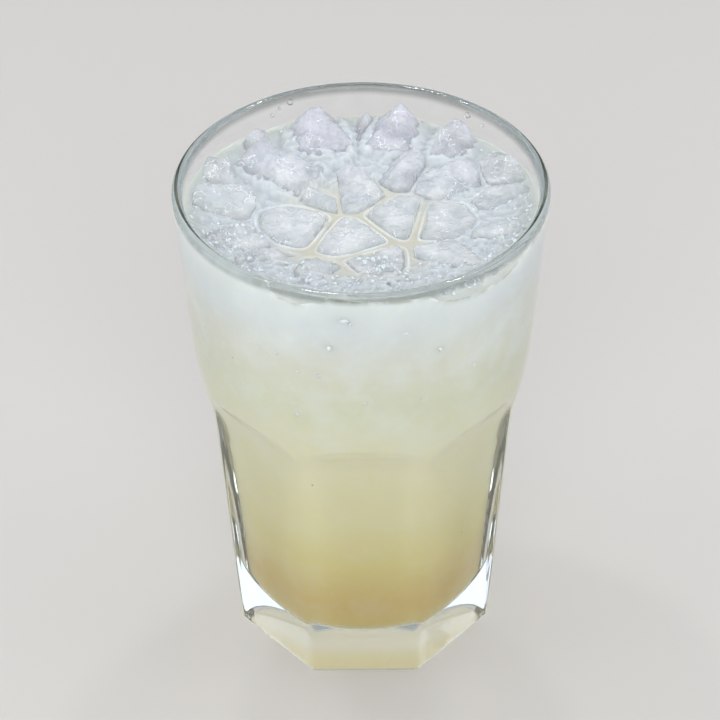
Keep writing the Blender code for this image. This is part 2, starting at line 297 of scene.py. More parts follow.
def face_distance(height):
    """How far the flat faces lie from the axis: a rounded foot, a slope, a hollow arc."""
    foot = FOOT_ROUNDING - np.sqrt(np.clip(height * (2 * FOOT_ROUNDING - height), 0.0, None))
    foot = np.where(height < FOOT_ROUNDING, foot, 0.0)
    lean = math.atan(FACE_SLOPE)
    start = FACE_FOOT + FACE_SLOPE * RUN_OUT_START
    centre_r = start + RUN_OUT_RADIUS * math.cos(lean)
    centre_z = RUN_OUT_START - RUN_OUT_RADIUS * math.sin(lean)
    up = np.clip(height - centre_z, 0.0, RUN_OUT_RADIUS)
    arc = centre_r - np.sqrt(RUN_OUT_RADIUS**2 - up**2)
    return np.where(height < RUN_OUT_START, FACE_FOOT + FACE_SLOPE * height - foot, arc)


def outer_radius(azimuth, height):
    """Radius of the outside: a soft minimum of the round body and the eight faces."""
    body = np.interp(height, *outside)
    nearest = 1.0
    for index in range(FACES):
        towards = np.cos(azimuth - math.tau * index / FACES)
        way = face_distance(height) / np.clip(towards, 0.5, None)
        nearest = nearest + (body / way) ** GLASS_EDGE
    return body * nearest ** (-1.0 / GLASS_EDGE)


# %% Glass surface
GLASS_COLUMNS = 320
FOOT_ROWS = 9
WALL_ROWS = 136
LIP_ROWS = 13
HOLLOW_ROWS = 88
FLOOR_FILLET_ROWS = 12


def ring_rows(radius, height, azimuth):
    """Points (radius, azimuth, height) as x, y and z, in one row per radius or height."""
    radius, height, azimuth = np.broadcast_arrays(radius, height, azimuth)
    return np.stack([radius * np.cos(azimuth), radius * np.sin(azimuth), height], -1)


def make_glass():
    """The whole tumbler as one closed surface: under the foot, up, over the lip, down."""
    azimuth = np.arange(GLASS_COLUMNS)[None, :] * math.tau / GLASS_COLUMNS
    lip = LIP_WALL / 2
    foot_share = np.array([0.0, 0.3, 0.6, 0.85, 0.97])[:, None]
    under = ring_rows(foot_share * outer_radius(azimuth, 0.0), 0.0, azimuth)
    foot_arc = FOOT_ROUNDING * (1 - np.cos(np.linspace(0.0, math.pi / 2, FOOT_ROWS)))
    up = np.linspace(FOOT_ROUNDING, HEIGHT - lip, WALL_ROWS)[1:]
    height = np.concatenate([foot_arc, up])[:, None]
    wall = ring_rows(outer_radius(azimuth, height), height, azimuth)
    turn = np.linspace(0.0, math.pi, LIP_ROWS)[1:-1, None]
    middle = MOUTH_RADIUS - lip
    over = ring_rows(middle + lip * np.cos(turn), HEIGHT - lip + lip * np.sin(turn), azimuth)
    down = np.linspace(HEIGHT - lip, FLOOR_THICKNESS + FLOOR_FILLET, HOLLOW_ROWS)[:, None]
    hollow = ring_rows(inner_radius(down), down, azimuth)
    turn = np.linspace(0.0, math.pi / 2, FLOOR_FILLET_ROWS)[1:, None]
    fillet_centre = inner_radius(FLOOR_THICKNESS + FLOOR_FILLET) - FLOOR_FILLET
    fillet_z = FLOOR_THICKNESS + FLOOR_FILLET * (1 - np.sin(turn))
    fillet = ring_rows(fillet_centre + FLOOR_FILLET * np.cos(turn), fillet_z, azimuth)
    floor_share = np.array([0.75, 0.5, 0.25, 0.0])[:, None]
    floor = ring_rows(floor_share * fillet_centre, FLOOR_THICKNESS, azimuth)
    return closed_surface("tumbler", np.concatenate([under, wall, over, hollow, fillet, floor]))


glass = make_glass()
print("tumbler:", len(glass.data.polygons), "faces")

# %% [markdown]
# ## Ice: the shape of a lump
#
# The ice is crushed: lumps of one to three centimetres, broken along flat facets and
# then rounded as they melt. Each lump repeats the CAD model's rule. Seen from its
# centre, the way out is the shortest of the ways to an ellipsoid, to a dozen facets,
# to the planes halfway to its neighbours, and to the glass. A soft minimum melts the
# edges, and more so on the lumps afloat, whose corners the drink has rounded off.
# Sculpting each lump by hand would take longer and would not fit the CAD.

# %% Sizes of the lumps
LUMP_GAP = 0.5
CHANNEL_GAP = 2.2
LUMP_REACH = 40.2
LUMP_FACETS = 11
# Powers of the soft minimum, for a heaped lump and for a more melted one afloat
EDGE_SHARPNESS = 32.0
MELTED_SHARPNESS = 11.0
HEAPED_DROP = 0.8
AFLOAT_DROP = 0.45
AFLOAT_LEAN = 2
HEAPED_FACETS_FROM = 0.75
AFLOAT_FACETS_FROM = 0.25
FACETS_DOWN_TO = -0.95
FACET_TURN = 2.4
FACET_JITTER_UP = 0.1
FACET_JITTER_ROUND = 0.35
FACET_DEPTH = (0.85, 1.0)
PEAK_OUT = 0.6
PEAK_SHIFT = 0.4
SHOULDER_FALL = (22.0, 46.0)
NEIGHBOUR_RANGE = 1.6
SIZE_SHARE = 0.75
# x, y, top, half width, half depth, half height, lean of the top in degrees, seed
LUMPS = (
    (-12.5, 31.5, 133.4, 15.0, 14.0, 10.0, 18, 416),
    (1.5, 35.0, 129.4, 8.0, 8.5, 7.5, 12, 40),
    (10.0, 31.5, 133.4, 14.0, 13.0, 10.0, 18, 590),
    (26.0, 26.5, 133.6, 12.5, 12.5, 10.0, 18, 287),
    (35.0, 15.5, 133.2, 9.0, 11.5, 9.0, 15, 822),
    (34.0, 1.0, 131.2, 12.0, 12.0, 9.5, 12, 832),
    (-20.5, 15.0, 133.2, 16.5, 16.0, 11.0, 15, 169),
    (-28.5, 26.5, 132.2, 11.0, 11.0, 8.5, 15, 652),
    (-35.5, 11.5, 133.2, 9.0, 11.0, 8.5, 15, 501),
    (-33.5, 0.0, 133.1, 11.5, 11.0, 9.0, 9, 735),
    (-30.5, -13.0, 132.2, 12.5, 12.0, 9.5, 10, 50),
    (-16.5, -4.5, 127.8, 14.0, 13.0, 8.0, 0, 51),
    (-10.0, 8.5, 129.6, 9.5, 13.5, 8.5, 5, 52),
    (-1.5, 9.0, 130.0, 8.5, 14.0, 8.5, 7, 53),
    (7.5, 18.5, 130.8, 11.5, 14.0, 9.0, 9, 54),
    (22.0, 12.5, 130.4, 13.0, 12.5, 8.5, 9, 55),
    (20.5, -4.0, 128.0, 14.5, 12.0, 8.0, 2, 56),
    (-2.5, -10.5, 127.8, 11.0, 11.5, 7.5, 0, 57),
    (9.0, -1.5, 128.1, 10.5, 12.0, 8.0, 2, 58),
    (4.0, -22.5, 129.0, 12.5, 11.0, 8.0, 2, 59),
    (20.5, -23.0, 131.6, 16.5, 13.0, 9.0, 9, 60),
    (33.0, -12.5, 132.0, 12.0, 12.5, 9.0, 9, 61),
    (-10.0, -30.0, 132.0, 14.0, 14.0, 9.0, 10, 62),
    (-23.5, -24.5, 132.2, 12.5, 12.0, 9.0, 10, 63),
    (5.5, -36.0, 132.4, 14.0, 10.5, 9.0, 10, 64),
)


def is_afloat(index):
    """Whether the lump lies flat in the drink, with its top just out of it."""
    return LUMPS[index][6] <= AFLOAT_LEAN


def lump_drop(index):
    """How far the lump's centre is below its top: less for a flat-topped one afloat."""
    return (AFLOAT_DROP if is_afloat(index) else HEAPED_DROP) * LUMPS[index][5]


def lump_centre(index):
    x, y, top = LUMPS[index][:3]
    return np.array([x, y, top - lump_drop(index)])


def lump_planes(index):
    """The flat facets of one lump, as unit normals and distances from its centre.

    The first is its top, which leans in towards the axis and passes through the lump's
    peak near its outer edge. The next are spread evenly over the sphere and then tilted
    at random, each at 85 to 100 per cent of the reach of the lump's ellipsoid. The last
    two are the shoulders of a heaped lump, which fall away from its peak to both sides.
    """
    x, y, _, wide, deep, tall, lean, seed = LUMPS[index]
    draw = random.Random(seed)
    spin = draw.uniform(0.0, math.tau)
    tilt = math.radians(lean)
    highest = AFLOAT_FACETS_FROM if is_afloat(index) else HEAPED_FACETS_FROM
    spread = highest - FACETS_DOWN_TO
    out = np.array([x, y]) / math.hypot(x, y)
    normals = [(*(-out * math.sin(tilt)), math.cos(tilt))]
    for k in range(LUMP_FACETS):
        height = highest - spread * (k + 0.5) / LUMP_FACETS
        height += draw.uniform(-FACET_JITTER_UP, FACET_JITTER_UP)
        turn = spin + FACET_TURN * k + draw.uniform(-FACET_JITTER_ROUND, FACET_JITTER_ROUND)
        flat = math.sqrt(1 - height * height)
        normals.append((flat * math.cos(turn), flat * math.sin(turn), height))
    normals = np.array(normals)
    reach = np.linalg.norm(normals * (wide, deep, tall), axis=1)
    distances = reach * [draw.uniform(*FACET_DEPTH) for _ in normals]
    distances[0] = normals[0] @ (*(out * PEAK_OUT * deep), lump_drop(index))
    if is_afloat(index):
        return normals, distances
    side = np.array([out[1], -out[0]])
    shift = draw.uniform(-PEAK_SHIFT, PEAK_SHIFT)
    peak = np.array([*(out * PEAK_OUT * deep + side * shift * wide), lump_drop(index)])
    falls = [math.radians(draw.uniform(*SHOULDER_FALL)) for _ in range(2)]
    shoulders = [(*(way * side * math.sin(f)), math.cos(f)) for way, f in zip((-1, 1), falls)]
    normals = np.concatenate([normals, shoulders])
    return normals, np.concatenate([distances, shoulders @ peak])


def neighbour_planes(index):
    """Planes halfway to the lumps around this one, moved towards the smaller lump."""
    here = lump_centre(index)
    size = np.mean(LUMPS[index][3:6])
    gap = CHANNEL_GAP if is_afloat(index) else LUMP_GAP
    normals, distances = [], []
    for other in range(len(LUMPS)):
        step = lump_centre(other) - here
        apart = np.linalg.norm(step)
        other_size = np.mean(LUMPS[other][3:6])
        if other == index or apart > NEIGHBOUR_RANGE * (size + other_size):
            continue
        middle = (apart + SIZE_SHARE * (size**2 - other_size**2) / apart) / 2
        normals.append(step / apart)
        distances.append(middle - gap / 2)
    return np.array(normals), np.array(distances)


lump_walls = []
for index in range(len(LUMPS)):
    own, others = lump_planes(index), neighbour_planes(index)
    lump_walls.append((np.concatenate([own[0], others[0]]), np.concatenate([own[1], others[1]])))


def lump_reach(index, directions):
    """How far the lump reaches from its centre in each direction, in mm."""
    sharpness = MELTED_SHARPNESS if is_afloat(index) else EDGE_SHARPNESS
    inverse = np.linalg.norm(directions / np.array(LUMPS[index][3:6]), axis=-1) ** sharpness
    normals, distances = lump_walls[index]
    towards = np.clip(directions @ normals.T, 0.0, None) / distances
    inverse = inverse + (towards**sharpness).sum(axis=-1)
    centre = lump_centre(index)
    flat = directions[..., :2]
    along = flat @ centre[:2]
    across = (flat**2).sum(axis=-1)
    room = LUMP_REACH**2 - centre[:2] @ centre[:2]
    to_glass = room / (along + np.sqrt(along**2 + across * room) + 1e-9)
    inverse = inverse + to_glass**-sharpness
    return inverse ** (-1.0 / sharpness)


def outside_lump(index, points):
    """How far points lie outside the lump along the line from its centre, below 0 inside."""
    step = points - lump_centre(index)
    away = np.linalg.norm(step, axis=-1) + 1e-9
    return away - lump_reach(index, step / away[..., None])


# %% [markdown]
# ## Ice: the surface of a lump
#
# Melting leaves broad dimples on a lump, and crushing leaves a rough broken face.
# Both are added as layers of noise along the way out from the centre, a few tenths
# of a millimetre deep, with far more of it on the lumps that the photograph shows
# broken up. A bump in the material could fake the finest layers, but the relief's
# outline and its glints are what reads as ice, so it is real geometry.

# %% Lumps of ice
LUMP_ROWS = 110
LUMP_COLUMNS = 180
# Places in the table of lumps, counted from 0, of those that are broken up
CRUSHED = (10, 19, 22, 23, 24)
SURFACE_SINK = 0.2


def ridged(points, grain, seed):
    """Noise folded at zero: sharp crests with hollows between them, from 0 to -1."""
    return -np.abs(2.0 * lattice_noise(points, grain, seed)).clip(0.0, 1.0)


# Kind of noise, its grain in mm, its seed, and its depth in mm
MELTED_RELIEF = (
    (lattice_noise, 5.0, 1, 0.4),
    (ridged, 3.4, 2, 0.3),
    (lattice_noise, 1.5, 7, 0.28),
    (lattice_noise, 0.8, 9, 0.16),
)
CRUSHED_RELIEF = ((ridged, 2.6, 3, 0.7), (ridged, 1.1, 4, 0.5))


def make_lump(index):
    """One lump as a closed surface over latitude and longitude round its centre."""
    latitude = np.linspace(-math.pi / 2, math.pi / 2, LUMP_ROWS)[:, None]
    longitude = np.arange(LUMP_COLUMNS)[None, :] * math.tau / LUMP_COLUMNS
    flat = np.cos(latitude)
    up = np.sin(latitude) + 0.0 * longitude
    directions = np.stack([flat * np.cos(longitude), flat * np.sin(longitude), up], -1)
    reach = lump_reach(index, directions)
    points = lump_centre(index) + directions * reach[..., None]
    layers = MELTED_RELIEF + (CRUSHED_RELIEF if index in CRUSHED else ())
    relief = sum(depth * kind(points, grain, seed) for kind, grain, seed, depth in layers)
    points = points + directions * (relief - SURFACE_SINK)[..., None]
    points[0] = points[0].mean(axis=0)
    points[-1] = points[-1].mean(axis=0)
    return closed_surface(f"lump_{index + 1:02d}", points)


lumps = [make_lump(index) for index in range(len(LUMPS))]
print("ice:", len(lumps), "lumps,", sum(len(lump.data.polygons) for lump in lumps), "faces")

# %% [markdown]
# ## The drink
#
# The drink fills the cavity up to a shallow dish: level in the middle, and banked up
# with fine crushed ice towards the viewer. Where it touches the wall it follows the
# line seen through the glass, with two dips at the front. Between the heaped lumps
# it is raised and rough, for the fine ice packed there. Where it touches a lump
# afloat it climbs about half a millimetre, as any liquid does, which raises the rings
# that catch the light; their paler colour is a painted highlight. Inside a lump it
# drops into a pocket. A flat disc with a bump would be quicker, but the rings and the
# bank are real shapes. The body reaches a little way into the wall, so no air shows
# between them.

# %% Surface of the drink
LEVEL = 126.5
DISH_CENTRE_Y = 12.0
DISH_FLOOR_RADIUS = 20.0
DISH_RADIUS = 53.0
BANK_HEIGHT = 7.0
WALL_RADIUS = 41.3
WALL_REACH = 2.5
INTO_WALL = 0.15
TOP_ROUGHNESS = (0.8, 0.5)
TOP_GRAINS = (2.4, 1.2)
TOP_LIFT = 0.6
TOP_LEAST_ROUGH = 0.6
BANK_ICE = (2.4, -0.4)
BEAD_HEIGHT = 0.45
BEAD_AWAY = 0.5
BEAD_WIDTH = 0.27
# How strong a bead is on average, how much that varies, over how many mm, and the least
BEAD_STRENGTH = (0.8, 0.9, 4.0, 0.15)
HEAPED_BEAD = 0.2
FILL_BELOW_TOP = 5.4
FILL_SLOPE = 0.7
POCKET_INSET = 0.2
POCKET_SLOPE = 1.3
POCKET_DEPTH = 6.0
POCKET_ICY = 2.5
CREAM_CENTRE = (0.0, -8.0)
CREAM_RADII = (15.0, 24.0)
# Where the drink meets the wall: degrees from the viewer's side to the right, height
CONTACT_LINE = (
    (-180, 126.8),
    (-140, 128.5),
    (-110, 130.0),
    (-90, 131.0),
    (-68, 133.8),
    (-57, 133.8),
    (-40, 134.3),
    (-31, 134.0),
    (-25, 132.5),
    (-19, 131.3),
    (-10, 133.8),
    (0, 133.6),
    (14, 133.1),
    (20, 132.9),
    (24, 130.7),
    (35, 129.3),
    (47, 129.7),
    (61, 132.6),
    (76, 132.8),
    (90, 131.5),
    (110, 130.0),
    (140, 128.0),
    (180, 126.8),
)


def contact_height(azimuth):
    """Height of the contact line on the wall at these azimuths, in radians from +X."""
    turn = (np.degrees(azimuth) + 90.0 + 180.0) % 360.0 - 180.0
    return np.interp(turn, *zip(*CONTACT_LINE))


def bank_share(x, y):
    """0 on the dish's level floor, and 1 at the foremost wall."""
    away = np.hypot(x, y - DISH_CENTRE_Y)
    return np.clip((away - DISH_FLOOR_RADIUS) / (DISH_RADIUS - DISH_FLOOR_RADIUS), 0.0, None)


def icy_bank(share, least):
    """How much crushed ice lies in the bank at a share of it, from least up to 1."""
    return np.clip(share * BANK_ICE[0] + BANK_ICE[1], least, 1.0)


def drink_surface(x, y):
    """Height of the drink's surface, how icy it looks, and how far it is on a bead.

    It looks icy everywhere but round the lumps afloat in the middle, where the bare
    drink shows. The bead is the wet rim that the drink draws up round each lump.
    """
    share = bank_share(x, y)
    height = LEVEL + BANK_HEIGHT * share**2
    azimuth = np.arctan2(y, x)
    share_at_wall = bank_share(WALL_RADIUS * np.cos(azimuth), WALL_RADIUS * np.sin(azimuth))
    rise = contact_height(azimuth) - (LEVEL + BANK_HEIGHT * share_at_wall**2)
    near_wall = np.exp(-np.clip(WALL_RADIUS - np.hypot(x, y), 0.0, None) / WALL_REACH)
    height = height + rise * near_wall
    away_from_cream = np.hypot(x - CREAM_CENTRE[0], y - CREAM_CENTRE[1])
    icy = np.interp(away_from_cream, CREAM_RADII, (0.0, 1.0))
    flat_points = np.stack([x, y, 0.0 * x], -1)
    coarse, fine = (ridged(flat_points, grain, seed) for grain, seed in zip(TOP_GRAINS, (5, 6)))
    rough = TOP_ROUGHNESS[0] * coarse + TOP_ROUGHNESS[1] * fine + TOP_LIFT
    height = height + icy * icy_bank(share, TOP_LEAST_ROUGH) * (1.0 - near_wall) * rough
    for index in range(len(LUMPS)):
        if not is_afloat(index):
            away = np.clip(outside_lump(index, np.stack([x, y, height], -1)), 0.0, None)
            filled = LUMPS[index][2] - FILL_BELOW_TOP + rough - FILL_SLOPE * away
            height = height + icy * np.clip(filled - height, 0.0, None)
    bead = np.zeros_like(height)
    pocket = np.zeros_like(height)
    for index in range(len(LUMPS)):
        away = outside_lump(index, np.stack([x, y, height], -1))
        strength = 1.0 if is_afloat(index) else HEAPED_BEAD
        bead = np.maximum(bead, strength * np.exp(-(((away - BEAD_AWAY) / BEAD_WIDTH) ** 2)))
        pocket = np.maximum(pocket, np.clip(-away - POCKET_INSET, 0.0, None))
    mean, swing, grain, least = BEAD_STRENGTH
    bead = bead * np.clip(mean + swing * lattice_noise(flat_points, grain, 8), least, 1.0)
    height = height + BEAD_HEIGHT * bead * (1.0 - near_wall)
    height = height - np.minimum(POCKET_SLOPE * pocket, POCKET_DEPTH)
    return height, np.maximum(icy, np.clip(POCKET_ICY * pocket, 0.0, 1.0)), bead


# %% Body of the drink
DRINK_COLUMNS = 390
FILLET_ROWS = 10
SIDE_ROWS = 109
TOP_ROWS = 129
# Above 1, this packs the side's rows together towards the contact line
SIDE_PACKING = 1.6
# How far in mm the painted shade along the contact line reaches, on the top and down the side
CONTACT_SHADE_REACH_ON_TOP = 2.8
CONTACT_SHADE_REACH_ON_SIDE = 0.5


def make_drink():
    """The drink as one closed surface: its bottom, up the wall, and over its top.

    Each point stores how icy it looks, how far it is on a bead, and how near it is to
    the contact line, which sets a painted shade along that line. Faces below that line
    take the first material, and those of the top take the second: the last faces of
    the mesh are the fans round its two ends.
    """
    azimuth = np.arange(DRINK_COLUMNS)[None, :] * math.tau / DRINK_COLUMNS
    floor = FLOOR_THICKNESS - INTO_WALL
    centre = inner_radius(FLOOR_THICKNESS + FLOOR_FILLET) - FLOOR_FILLET
    bend = FLOOR_FILLET + INTO_WALL
    bottom = ring_rows(np.array([0.0, 0.4, 0.8])[:, None] * centre, floor, azimuth)
    turn = np.linspace(-math.pi / 2, 0.0, FILLET_ROWS)[:, None]
    fillet = ring_rows(centre + bend * np.cos(turn), floor + bend * (1 + np.sin(turn)), azimuth)
    share = 1.0 - np.linspace(1.0, 0.0, SIDE_ROWS + 1)[1:, None] ** SIDE_PACKING
    start = FLOOR_THICKNESS + FLOOR_FILLET
    height = start + share * (contact_height(azimuth) - start)
    side = ring_rows(inner_radius(height) + INTO_WALL, height, azimuth)
    inwards = np.linspace(1.0, 0.0, TOP_ROWS + 1)[1:, None]
    x = inwards * side[-1, :, 0]
    y = inwards * side[-1, :, 1]
    top_height, icy_top, bead_top = drink_surface(x, y)
    top = np.stack([x, y, top_height], -1)
    top[-1] = top[-1].mean(axis=0)
    rows = np.concatenate([bottom, fillet, side, top])
    drink = closed_surface("lemonade_body", rows)
    side_faces = (len(rows) - len(top) - 2) * DRINK_COLUMNS
    slots = np.zeros(len(drink.data.polygons), int)
    slots[side_faces : -2 * DRINK_COLUMNS] = 1
    slots[-DRINK_COLUMNS:] = 1
    drink.data.polygons.foreach_set("material_index", slots)
    below = np.zeros((len(rows) - len(top), DRINK_COLUMNS))
    icy = np.concatenate([below, icy_top])
    bead = np.concatenate([below, bead_top])
    from_wall = (1.0 - inwards) * WALL_RADIUS + 0.0 * x
    contact_shade = np.concatenate([below, np.exp(-from_wall / CONTACT_SHADE_REACH_ON_TOP)])
    under_contact = contact_height(azimuth) - height
    contact_shade[len(below) - len(side) : len(below)] = np.exp(-under_contact / CONTACT_SHADE_REACH_ON_SIDE)
    for name, values in (("icy", icy), ("bead", bead), ("contact_shade", contact_shade)):
        add_attribute(drink, name, np.concatenate([values[:1, 0], values[1:-1].ravel(), values[-1:, 0]]))
    return drink


drink = make_drink()
print("drink:", len(drink.data.polygons), "faces")

# %% [markdown]
# ## Crumbs of ice
#
# Crushing also leaves splinters of well under a millimetre, which make the bank at
# the front glitter. They are one mesh: a twenty-sided stone, copied by array
# arithmetic with its own turn, stretch and jitter each time. A particle system would
# do the same, but its copies would not export as part of the object. The same stone
# makes the pale flecks and the specks of pulp behind the glass and, rounded by a
# modifier, the drops on the inner wall and the bubbles.

# %% Crumbs
GOLDEN = (1 + math.sqrt(5)) / 2
STONE_POINTS = np.array(
    [(s, t * GOLDEN, 0.0) for s in (-1, 1) for t in (-1, 1)]
    + [(0.0, s, t * GOLDEN) for s in (-1, 1) for t in (-1, 1)]
    + [(t * GOLDEN, 0.0, s) for s in (-1, 1) for t in (-1, 1)]
) / math.hypot(1.0, GOLDEN)


# Neighbours on the stone, whose radius is 1, are about 1.05 apart, and others over 1.7
STONE_NEAR = 1.2


def stone_faces():
    """The twenty triangles of the stone: every three points that are near each other."""
    gap = np.linalg.norm(STONE_POINTS[:, None] - STONE_POINTS[None], axis=-1)
    near = (gap > 0.0) & (gap < STONE_NEAR)
    faces = []
    for a, b, c in np.argwhere(near[:, :, None] & near[None] & near[:, None, :]):
        if a < b < c:
            p, q, r = STONE_POINTS[[a, b, c]]
            faces.append((a, b, c) if np.cross(q - p, r - p) @ (p + q + r) > 0 else (a, c, b))
    return np.array(faces)


def make_stones(name, places, sizes, seed, stretch=0.4, jitter=0.22):
    """One mesh of many small faceted stones at places in mm, with these radii in mm.

    jitter moves each corner in or out, and stretch scales each stone along its axes,
    by up to these shares. Random quaternions turn the stones, as rotation matrices.
    """
    draw = np.random.default_rng(seed)
    count = len(places)
    shape = STONE_POINTS[None] * (1.0 + draw.uniform(-jitter, jitter, (count, 12, 1)))
    shape = shape * (1.0 + draw.uniform(-stretch, stretch, (count, 1, 3)))
    quaternion = draw.normal(size=(count, 4))
    quaternion /= np.linalg.norm(quaternion, axis=1, keepdims=True)
    w, x, y, z = quaternion.T
    turn = np.array(
        [
            [1 - 2 * (y * y + z * z), 2 * (x * y - z * w), 2 * (x * z + y * w)],
            [2 * (x * y + z * w), 1 - 2 * (x * x + z * z), 2 * (y * z - x * w)],
            [2 * (x * z - y * w), 2 * (y * z + x * w), 1 - 2 * (x * x + y * y)],
        ]
    )
    shape = np.einsum("ijn,nkj->nki", turn, shape) * sizes[:, None, None] + places[:, None]
    faces = (stone_faces()[None] + 12 * np.arange(count)[:, None, None]).reshape(-1, 3)
    return add_mesh(name, shape.reshape(-1, 3) * MM, faces.tolist())


CRUMBS_SCATTERED = 12000
SCATTER_RADIUS = 40.0
CRUMBS_KEPT = 0.35
CRUMBS_FALL_OFF = 1.5
CRUMBS_UPWARDS = 0.4
CRUMBS_ON_LUMP = 60
CRUMB_SINK = 0.15
CRUMB_SINK_ON_LUMP = 0.5
# Square roots of the smallest and largest radius in mm, so that small ones abound
CRUMB_SIZES = (0.35, 0.66)


def scattered(count, seed):
    """Random points (x, y) spread evenly over the mouth."""
    draw = np.random.default_rng(seed)
    radius = SCATTER_RADIUS * np.sqrt(draw.uniform(0.0, 1.0, count))
    azimuth = draw.uniform(0.0, math.tau, count)
    return radius * np.cos(azimuth), radius * np.sin(azimuth)


def make_crumbs():
    """Crumbs on the icy bank, and more that stick to the tops of the crushed lumps."""
    x, y = scattered(CRUMBS_SCATTERED, 11)
    height, icy, _ = drink_surface(x, y)
    draw = np.random.default_rng(12)
    chance = CRUMBS_KEPT * icy_bank(bank_share(x, y), 0.0) ** CRUMBS_FALL_OFF
    keep = (draw.uniform(size=len(x)) < chance) & (icy > 0.5)
    places = [np.stack([x, y, height - CRUMB_SINK], -1)[keep]]
    for index in CRUSHED:
        directions = draw.normal(size=(CRUMBS_ON_LUMP, 3))
        directions[:, 2] = np.abs(directions[:, 2]) + CRUMBS_UPWARDS
        directions /= np.linalg.norm(directions, axis=1, keepdims=True)
        reach = lump_reach(index, directions)
        places.append(lump_centre(index) + directions * (reach - CRUMB_SINK_ON_LUMP)[:, None])
    places = np.concatenate(places)
    sizes = draw.uniform(*CRUMB_SIZES, len(places)) ** 2
    return make_stones("ice_crumbs", places, sizes, 13, 0.75, 0.3)


# Subdivision pulls the twenty-sided stone in, so a ball starts out this much larger
BALL_GROWTH = 1.2


def on_wall(spots, radius_change=0.0):
    """Points in mm on the inner wall, from (degrees from the viewer's side, height)."""
    turn, height = np.array(spots, float)[:, :2].T
    turn = np.radians(turn - 90.0)
    radius = inner_radius(height) + radius_change
    return np.stack([radius * np.cos(turn), radius * np.sin(turn), height], -1)


def make_balls(name, places, sizes):
    """Small round drops or bubbles: stones without jitter, rounded by subdivision."""
    balls = make_stones(name, places, np.array(sizes) * BALL_GROWTH, 1, 0.0, 0.0)
    balls.data.shade_smooth()
    rounding = balls.modifiers.new("rounding", "SUBSURF")
    rounding.levels = rounding.render_levels = 2
    return balls


# %% Flecks, specks, drops and bubbles
# Degrees from the viewer's side to the right, height, radius
WHITE_FLECKS = (
    (-5.3, 128.1, 1.0),
    (-3.6, 127.4, 0.6),
    (63.8, 106.5, 0.8),
    (-60.4, 110.1, 0.5),
    (24.4, 116.8, 0.7),
    (-20.5, 111.1, 0.6),
    (-13.8, 111.0, 0.5),
    (-27.2, 115.0, 0.5),
    (13.1, 123.6, 0.6),
    (37.7, 107.8, 0.6),
    (-36.7, 115.0, 0.5),
    (-10.2, 119.7, 0.8),
    (0.6, 103.0, 0.5),
    (19.1, 102.4, 0.5),
    (-21.8, 97.1, 0.6),
    (-41.6, 100.5, 0.5),
)
PULP_SPECKS = ((-22.7, 69.6, 0.4), (52.0, 40.0, 0.3), (-46.0, 107.0, 0.25))
DROPLETS = (
    (-155.1, 133.8, 0.9),
    (-151.0, 133.0, 0.5),
    (-148.0, 131.6, 0.6),
    (140.0, 133.2, 0.9),
    (133.2, 132.4, 0.5),
)
# x, y, radius
BUBBLES = (
    (3.0, 0.0, 1.1),
    (8.5, -6.3, 0.9),
    (-8.0, -5.0, 0.9),
    (-3.5, 3.5, 0.5),
    (14.0, -9.0, 0.5),
    (5.0, -14.0, 0.4),
)

crumbs = make_crumbs()
fleck_sizes, speck_sizes = (np.array(spots)[:, 2] for spots in (WHITE_FLECKS, PULP_SPECKS))
flecks = make_stones("ice_flecks", on_wall(WHITE_FLECKS), fleck_sizes, 14)
specks = make_stones("pulp_specks", on_wall(PULP_SPECKS), speck_sizes, 15)
droplets = make_balls("splashed_drops", on_wall(DROPLETS, -0.1), [d[2] for d in DROPLETS])
bubble_x, bubble_y, bubble_radius = np.array(BUBBLES).T
bubble_height = drink_surface(bubble_x, bubble_y)[0]
bubbles = make_balls("bubbles", np.stack([bubble_x, bubble_y, bubble_height], -1), bubble_radius)
print(len(crumbs.data.polygons) // len(stone_faces()), "crumbs,", len(WHITE_FLECKS), "flecks")

# %% [markdown]
# ## Materials
#
# Soda-lime glass is pressed hot and fire polished: colourless to the eye, with a
# faint green cast where light travels far through it, so a thin even absorption fills
# its volume. Its gloss is near perfect, with slight waves left by the mould. Its lip
# is tinted grey, a painted shade for the light that the rim leads away inside it. Lamps
# see it as transparent in their shadow rays, in place of the light that real glass
# bends onto the drink.
# Noise scales are per metre: 110 gives waves of about 9 mm.

# %% Glass material
# How far in mm under the top the lip's painted grey shade starts, and where it is full
LIP_SHADE_FADES = (2.8, 1.5)
LIP_SHADE_COLOUR = "#acb1b0"
WAVE_SCALE = 110.0
SHADOW_TINT = "#f1f4f4"
VOLUME_TINT = "#cfdcda"
VOLUME_DENSITY = 9.0


def make_glass_material():
    """Fire-polished pressed soda-lime glass, painted grey at the lip as shade for the light led away
    there.
    """
    material = new_material("fire polished pressed glass")
    place, _, _, z = object_place(material)
    lip = rescaled(material, z, (HEIGHT - LIP_SHADE_FADES[0]) * MM, (HEIGHT - LIP_SHADE_FADES[1]) * MM)
    clear = add_node(
        material,
        "ShaderNodeBsdfPrincipled",
        {
            "Base Color": blend(material, lip, linear("#ffffff"), linear(LIP_SHADE_COLOUR)),
            "Roughness": 0.0,
            "IOR": 1.5,
            "Transmission Weight": 1.0,
            "Normal": bumped(material, noise(material, place, WAVE_SCALE, 1.0), 0.08, 0.2),
        },
    )
    passing = add_node(material, "ShaderNodeBsdfTransparent", {"Color": linear(SHADOW_TINT)})
    path = add_node(material, "ShaderNodeLightPath")
    mix = mixed(material, path.outputs["Is Shadow Ray"], clear, passing)
    inputs = {"Color": linear(VOLUME_TINT), "Density": VOLUME_DENSITY}
    tint = add_node(material, "ShaderNodeVolumeAbsorption", inputs)
    inputs = {"Surface": mix.outputs[0], "Volume": tint.outputs[0]}
    add_node(material, "ShaderNodeOutputMaterial", inputs)
    return material
